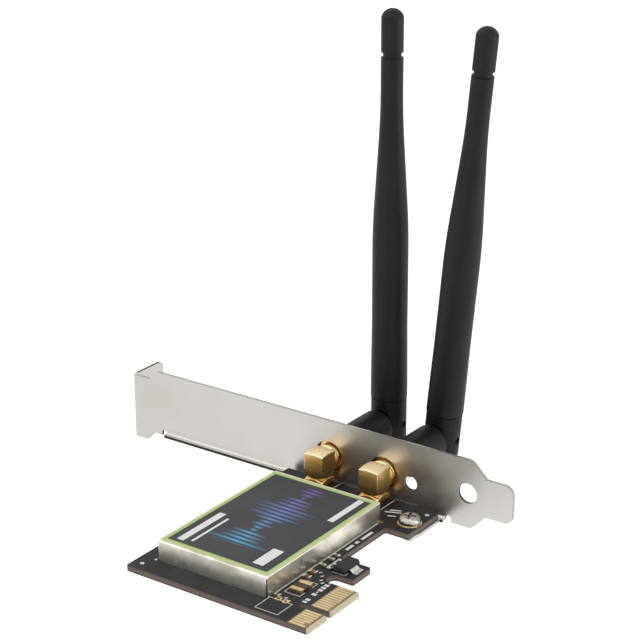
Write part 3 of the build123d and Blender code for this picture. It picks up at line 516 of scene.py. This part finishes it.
def castBlock(size, top):
    # round the upright axis the wall stands at half over the p-norm of cosine and sine, a square with round
    # corners; it is cut in by a waist of two cones with a soft minimum, and a circle of the edge's radius
    # rolls it into the dome, a ball cap that closes over the axis; the painted highlight is 1 along the
    # upright edges and the roll, 0 away from them
    quarter, flatTo = 90, 38  # degrees, and where a flat side gives way to its corner
    flat = np.linspace(-flatTo, flatTo, 9)[:-1]
    bend = np.linspace(flatTo, quarter - flatTo, 15)[:-1]
    side = np.concatenate([flat, bend])
    angle = np.radians(np.concatenate([side + quarter * k for k in range(4)]))[:, None]
    power = size["corner"]
    norm = (np.abs(np.cos(angle)) ** power + np.abs(np.sin(angle)) ** power) ** (1 / power)
    wall = size["half"] / norm
    slope = size["waistHigh"] / (size["turn"] - size["waistR"])
    reach = (wall - size["waistR"]) * slope
    soft = np.minimum(size["ease"], size["easeShare"] * reach)
    ball = top - size["domeR"]
    rollR = wall - size["edge"]
    rollZ = ball + np.sqrt((size["domeR"] - size["edge"]) ** 2 - rollR ** 2)
    waist = size["waistZ"] + 0 * wall
    knots = [0 * wall, waist - reach - soft, waist - reach + soft, waist, waist + reach - soft,
             waist + reach + soft, rollZ]
    counts = (2, 5, 3, 3, 5, 3)  # rows in each stretch between knots
    z = np.concatenate([a + (b - a) * np.linspace(0, 1, n, endpoint=False)
                        for a, b, n in zip(knots[:-1], knots[1:], counts)], axis=1)
    cone = size["waistR"] + np.abs(z - size["waistZ"]) / slope
    apart = np.abs(cone - wall)
    blend = 2 * soft / slope
    r = np.minimum(cone, wall) - np.clip(blend - apart, 0, None) ** 2 / (4 * blend)
    lean = np.arctan2(rollZ - ball, rollR)
    roll = lean * np.linspace(0, 1, 7)
    cap = lean + (np.pi / 2 - lean) * np.linspace(0, 1, 13)[1:]
    larger = np.maximum(np.abs(np.cos(angle)), np.abs(np.sin(angle)))
    upright = (1 - larger / norm) / (1 - 0.5 ** (1 / power))
    # painted edge highlight: 1 along the upright edges and the roll, 0 elsewhere
    highlight = np.concatenate([upright + 0 * wall, upright + 0 * r, np.sin(np.pi * roll / lean), 0 * cap],
                          axis=1)
    rolled = [rollR + size["edge"] * np.cos(roll), rollZ + size["edge"] * np.sin(roll)]
    capped = [size["domeR"] * np.cos(cap), ball + size["domeR"] * np.sin(cap)]
    r = np.concatenate([0 * wall, r, rolled[0], capped[0]], axis=1)
    z = np.concatenate([0 * wall, z, rolled[1], capped[1]], axis=1)
    return np.stack([r * np.cos(angle), r * np.sin(angle), z], axis=-1), highlight


def turnedRing(profile, axis, around=64):
    # a closed outline of radius and travel carried once round the axis
    angle = np.linspace(0, 2 * np.pi, around, endpoint=False)[:, None]
    radius, travel = np.array(profile).T
    along = np.array(axis)
    return ((radius * np.cos(angle))[..., None] * np.roll(along, 1)
            + (radius * np.sin(angle))[..., None] * np.roll(along, 2)
            + np.broadcast_to(travel, (around, len(travel)))[..., None] * along)


def roundedCorner(radius, travel, ease, start):
    # quarter circle of an outline's outer corner, as radius and travel
    turn = np.radians(start + np.linspace(0, 90, 6))
    return list(zip(radius - ease + ease * np.cos(turn), travel + ease * np.sin(turn)))


for side in sides:
    bodyLow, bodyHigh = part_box(f"jack_body_{side}")
    jackX = (bodyLow.x + bodyHigh.x) / 2
    jackY = bodyLow.y + jackCast["half"]
    nutLow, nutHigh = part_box(f"coupling_nut_{side}")
    axisZ = (nutLow.z + nutHigh.z) / 2
    front = bodyLow.y + 2 * jackCast["half"]
    ease, collarEnd = jackCast["collarEdge"], front + jackCast["collar"]
    tubeEase = jackCast["tubeEase"]
    block, blockHighlight = castBlock(jackCast, bodyHigh.z - boardHigh.z)
    grids = [block + np.array([jackX, jackY, boardHigh.z])]
    outline = [(jackCast["bore"], bodyHigh.y), (jackCast["bore"], front - jackCast["sunk"])]
    outline += [(jackCast["collarR"] - ease, front - jackCast["sunk"])]
    outline += roundedCorner(jackCast["collarR"], front + ease, ease, -90)
    outline += roundedCorner(jackCast["collarR"], collarEnd - ease, ease, 0)
    outline += [(jackCast["tubeR"], collarEnd), (jackCast["tubeR"], bodyHigh.y - tubeEase),
                (jackCast["tubeR"] - tubeEase, bodyHigh.y)]
    grids.append(turnedRing(outline, (0, 1, 0)) + np.array([jackX, 0, axisZ]))
    out, legEase = jackCast["legOut"], jackCast["legEase"]
    leg = [(0, boardHigh.z + jackCast["sunk"]), (0, bodyLow.z), (jackCast["legR"] - legEase, bodyLow.z)]
    leg += roundedCorner(jackCast["legR"], bodyLow.z + legEase, legEase, -90)
    leg += [(jackCast["legR"], boardHigh.z + jackCast["sunk"])]
    for dx in (-out, out):
        grids += [turnedRing(leg, (0, 0, 1), 20) + np.array([jackX + dx, jackY + dy, 0])
                  for dy in (-out, out)]
    starts = np.cumsum([0] + [grid.shape[0] * grid.shape[1] for grid in grids])
    points = np.concatenate([grid.reshape(-1, 3) for grid in grids])
    faces = np.concatenate([gridFaces(*grid.shape[:2]) + start for grid, start in zip(grids, starts)])
    highlight = np.zeros(len(points))
    highlight[:blockHighlight.size] = blockHighlight.ravel()
    casting = makePiece(f"jack_casting_{side}", points, faces, jackCasting, highlight=highlight)
    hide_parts(f"jack_body_{side}")
print("jack castings made")

screwThread = dict(core=1.49 * mm, ridge=0.12 * mm, pitch=0.5 * mm, wall=0.15 * mm, tip=0.02 * mm,
                   length=1.76 * mm)
screwLow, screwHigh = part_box("bracket_screw")
screwAt = (screwLow + screwHigh) / 2
threadFoot = screwLow.z + screwThread["tip"]
points, faces = helixSleeve((screwAt.x, screwAt.y, 0), (0, 0, 1), threadFoot,
                            threadFoot + screwThread["length"], screwThread)
makePiece("screw_thread", points, faces, looks["screw_steel"])
print("threads made")


def meniscus(places, top, cone):
    # solder drawn along a leg: the radius falls from the foot to the leg as (1 - t) to the power sweep
    # while the depth grows with t, and both ends close inside the leg
    around = 24
    sweep = 2.4
    t = np.linspace(0, 1, 9)
    core = [cone["leg"] / 2]
    radius = np.concatenate([core, cone["leg"] + (cone["foot"] - cone["leg"]) * (1 - t) ** sweep, core])
    depth = np.concatenate([[cone["sunk"]], cone["sunk"] - cone["drop"] * t, [-cone["drop"]]])
    angle = np.linspace(0, 2 * np.pi, around, endpoint=False)
    ring = np.stack([np.outer(np.cos(angle), radius), np.outer(np.sin(angle), radius),
                     np.broadcast_to(depth + top, (around, len(radius)))], axis=-1)
    points = np.array(places)[:, None, None, :] + ring[None]
    one = gridFaces(around, len(radius))
    shift = np.arange(len(places))[:, None, None] * ring.shape[0] * ring.shape[1]
    return points, (one[None] + shift).reshape(-1, 4)


solderCone = dict(leg=jackCast["legR"], foot=1.05 * mm, drop=0.95 * mm, sunk=0.02 * mm, pin=0.45 * mm)
for side in sides:
    pinLow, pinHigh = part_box(f"jack_pin_{side}")
    pinX = (pinLow.x + pinHigh.x) / 2
    pinY = pinLow.y + solderCone["pin"]
    out = jackCast["legOut"]
    places = [(pinX + dx, pinY + dy, 0) for dx in (-out, out) for dy in (-out, out)] + [(pinX, pinY, 0)]
    points, faces = meniscus(places, boardLow.z, solderCone)
    makePiece(f"jack_solder_{side}", points, faces, looks["solder_tin"])
print("solder made")


def strokeBlocks(strokes, foot, thick):
    # flat ink strokes: a rectangle of the given width carried from one end point to the other,
    # closed into a thin block
    ends = np.array([s[:4] for s in strokes]) * mm
    wide = np.array([s[4] for s in strokes])[:, None] * mm / 2
    run = ends[:, 2:] - ends[:, :2]
    run = run / np.linalg.norm(run, axis=1, keepdims=True)
    cross = np.stack([-run[:, 1], run[:, 0]], axis=1) * wide
    flat = np.stack([ends[:, :2] - cross, ends[:, 2:] - cross, ends[:, 2:] + cross, ends[:, :2] + cross],
                    axis=1)
    low = np.concatenate([flat, np.full((*flat.shape[:2], 1), foot)], axis=2)
    points = np.concatenate([low, low + np.array([0, 0, thick])], axis=1)
    one = np.array([(0, 3, 2, 1), (4, 5, 6, 7), (0, 1, 5, 4), (1, 2, 6, 5), (2, 3, 7, 6), (3, 0, 4, 7)])
    return points, (one[None] + np.arange(len(strokes))[:, None, None] * 8).reshape(-1, 4)


# from x, y to x, y and width, in millimetres from the keyway at the contact edge
silk = dict(thick=0.02 * mm, lines=[
    (-15.9, 1.6, -15.9, 43.7, 0.16),
    (-10.4, 9.95, -10.4, 7.8, 0.16), (-10.4, 9.95, -14.0, 9.95, 0.16),
    (-10.4, 2.85, -10.4, 4.9, 0.16), (-10.4, 2.85, -14.7, 2.8, 0.16), (-14.7, 2.8, -14.7, 5.0, 0.16),
    (-19.6, 50.34, -19.6, 56.59, 0.18), (-36.3, 53.8, -36.3, 56.6, 0.18),
    (-10.9, 16.73, -7.5, 16.73, 0.16), (-7.5, 16.73, -7.5, 18.34, 0.16),
    (-15.9, -6.8, -9.6, -6.8, 0.18), (-9.6, -6.8, -9.6, -1.1, 0.18), (-9.6, -1.1, -15.9, -1.1, 0.18),
    (-15.9, -1.1, -15.9, -6.8, 0.18),
    (-8.0, 1.2, -8.0, 1.9, 1.2), (-8.0, 2.3, -8.0, 3.2, 1.2),
    (-8.2, 5.0, -8.2, 6.0, 1.2), (-8.2, 6.4, -8.2, 7.1, 0.4), (-8.2, 7.5, -8.2, 8.4, 1.2),
    (-8.2, 8.8, -8.2, 9.7, 1.2), (-8.2, 10.1, -8.2, 11.0, 1.2), (-8.2, 11.4, -8.2, 12.0, 0.4),
    (-12.9, 0.3, -12.2, 0.9, 0.4), (-11.6, -0.5, -10.9, 0.1, 0.4), (-10.0, 10.7, -9.5, 11.3, 0.4),
    (-11.0, 11.6, -10.4, 12.2, 0.4), (-12.0, 13.4, -11.4, 14.0, 0.4), (-13.3, 14.6, -12.7, 15.2, 0.4),
    (-14.5, 27.6, -14.5, 30.6, 0.8), (-14.5, 31.6, -14.5, 33.0, 0.8), (-14.5, 34.2, -14.5, 38.8, 0.8),
    (-18.2, 49.9, -14.2, 51.5, 0.5), (-17.6, 51.4, -14.9, 52.5, 0.5), (-16.4, 48.4, -14.4, 49.2, 0.5),
    (-13.2, 17.8, -13.2, 19.6, 0.5), (-13.2, 20.6, -13.2, 22.2, 0.5),
])
points, faces = strokeBlocks(silk["lines"], boardHigh.z, silk["thick"])
makePiece("silk_print", points, faces, silkInk, smooth=False)
print("silk print made")


# Stage: pale floor, soft lamps, white surroundings and the camera

def seenRays(add):  # the light path, and 1 for rays that the camera, a mirror or glass sees
    rays = add("ShaderNodeLightPath")
    lit = add("ShaderNodeMath", {0: rays["Is Camera Ray"], 1: rays["Is Glossy Ray"]},
              operation="MAXIMUM")[0]
    return rays, add("ShaderNodeMath", {0: lit, 1: rays["Is Transmission Ray"]}, operation="MAXIMUM")[0]


stage = dict(floorZ=-0.112, floorHalf=3.0, floorColour="#F4F4F4", floorRough=0.9, floorLift=0.14,
             mirrorLift=0.32, surround=0.62)
floorMesh = bpy.data.meshes.new("floor")
reach = stage["floorHalf"]
corners = [(-reach, -reach), (reach, -reach), (reach, reach), (-reach, reach)]
floorMesh.from_pydata([(x, y, stage["floorZ"]) for x, y in corners], [], [(0, 1, 2, 3)])
floor = bpy.data.objects.new("floor", floorMesh)
bpy.context.scene.collection.objects.link(floor)
paper, add = startMaterial("white paper sweep")[:2]
rays, seen = seenRays(add)
mirrored = add("ShaderNodeMath", {0: seen, 1: stage["mirrorLift"]}, operation="MULTIPLY")[0]
lift = add("ShaderNodeMath", {0: rays["Is Camera Ray"], 1: stage["floorLift"], 2: mirrored},
           operation="MULTIPLY_ADD")[0]
matt = add("ShaderNodeBsdfPrincipled", {"Base Color": hexColour(stage["floorColour"]),
                                        "Roughness": stage["floorRough"],
                                        "Specular IOR Level": 0.0, "Emission Color": (1, 1, 1, 1),
                                        "Emission Strength": lift})[0]
add("ShaderNodeOutputMaterial", {"Surface": matt})
floorMesh.materials.append(paper)

world = bpy.data.worlds.new("white room")
bpy.context.scene.world = world
world.use_nodes = True
world.node_tree.nodes.clear()
add = partial(addNode, world.node_tree)
rays, seen = seenRays(add)
strength = add("ShaderNodeMapRange", {0: seen, 3: stage["surround"], 4: 1.0})[0]
room = add("ShaderNodeBackground", {"Color": (1, 1, 1, 1), "Strength": strength})[0]
add("ShaderNodeOutputWorld", {"Surface": room})

# large or dim, so that metal which mirrors a lamp isn't burnt out; side and front stand low and light the
# antennas
lamps = dict(
    key=dict(place=(-0.35, -0.5, 1.2), size=2.0, watts=7.0),
    fill=dict(place=(1.1, -0.2, 0.6), size=1.2, watts=3.0),
    side=dict(place=(0.62, 0.27, 0.05), size=0.3, watts=1.0),
    front=dict(place=(-0.15, -0.62, 0.0), size=0.2, watts=0.3),
)
target = Vector((-0.035, 0.03, 0.02))
for name, lamp in lamps.items():
    light = bpy.data.lights.new(name, "AREA")
    light.shape = "SQUARE"
    light.size = lamp["size"]
    light.energy = lamp["watts"]
    holder = bpy.data.objects.new(name, light)
    holder.location = lamp["place"]
    holder.rotation_euler = (target - Vector(lamp["place"])).to_track_quat("-Z", "Y").to_euler()
    bpy.context.scene.collection.objects.link(holder)

view = dict(place=(0.21614, -0.30836, 0.215015), azimuth=35.32, elevation=20.868, roll=-0.234, lens=107.49,
            film=36.0, near=0.01)
azimuth, elevation, roll = (math.radians(view[k]) for k in ("azimuth", "elevation", "roll"))
flatAhead = Vector((-math.sin(azimuth), math.cos(azimuth), 0))
ahead = flatAhead * math.cos(elevation) - Vector((0, 0, math.sin(elevation)))
level = Vector((math.cos(azimuth), math.sin(azimuth), 0))
upward = level.cross(ahead)
rightward = math.cos(roll) * level + math.sin(roll) * upward
overhead = -math.sin(roll) * level + math.cos(roll) * upward
lens = bpy.data.cameras.new("photo camera")
lens.lens = view["lens"]
lens.sensor_width = view["film"]
lens.clip_start = view["near"]
camera = bpy.data.objects.new("photo camera", lens)
turned = Matrix((rightward, overhead, -ahead)).transposed().to_4x4()
camera.matrix_world = Matrix.Translation(view["place"]) @ turned
bpy.context.scene.collection.objects.link(camera)
bpy.context.scene.camera = camera
bpy.context.scene.view_settings.view_transform = "Standard"
print("stage set")
